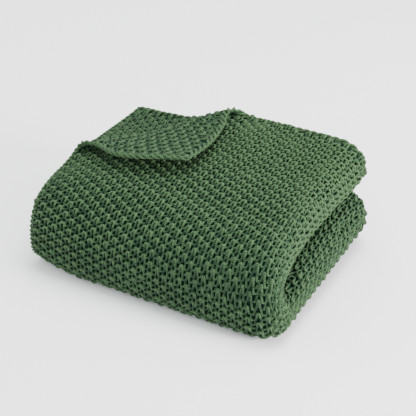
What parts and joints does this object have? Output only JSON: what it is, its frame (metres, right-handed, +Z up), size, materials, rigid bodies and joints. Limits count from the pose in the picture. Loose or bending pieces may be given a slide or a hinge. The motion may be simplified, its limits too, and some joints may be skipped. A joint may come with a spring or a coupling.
{
  "type": "folded knit throw blanket",
  "caption": "A chunky seed-stitch knit throw folded into a thick soft pad, with a whole front fold, soft side folds and a turned-over top corner",
  "frame": {"origin": "centre of the underside's bounding box, on the surface that the folded throw lies on", "axes": "+X along the long front fold to the folded side, +Y to the back where the ends lie, +Z up"},
  "size_m": [0.4624, 0.344, 0.2091],
  "materials": {
    "yarn": "matte chunky knitted yarn, dark green"
  },
  "bodies": {
    "root": {"throw": "yarn"}
  },
  "joints": []
}
